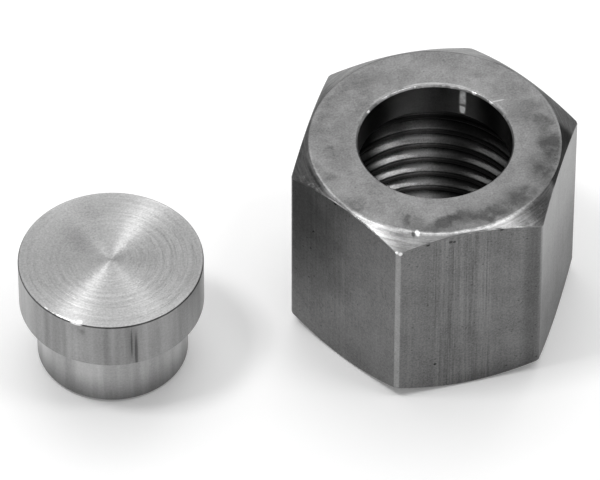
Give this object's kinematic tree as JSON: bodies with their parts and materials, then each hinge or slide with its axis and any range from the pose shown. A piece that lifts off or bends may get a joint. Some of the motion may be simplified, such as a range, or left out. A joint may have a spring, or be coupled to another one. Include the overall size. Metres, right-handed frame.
{
  "type": "female cap fitting",
  "caption": "Hexagonal cap nut with an internal thread and a stepped through bore, with its turned face-seal plug standing apart.",
  "frame": {"origin": "centre of the nut's threaded mouth, on the plane that both pieces stand on", "axes": "+Z along the nut's axis, from the threaded mouth towards the crown; +X through a corner of the hexagon; -Y out of one flat; the plug stands on the -X side"},
  "size_m": [0.0388, 0.0174, 0.015],
  "materials": {
    "nut_steel": "satin, bar faces drawn, ends turned",
    "plug_steel": "face-turned, fine concentric tool marks"
  },
  "bodies": {
    "root": {"cap_nut": "nut_steel", "sealing_plug": "plug_steel"}
  },
  "joints": []
}
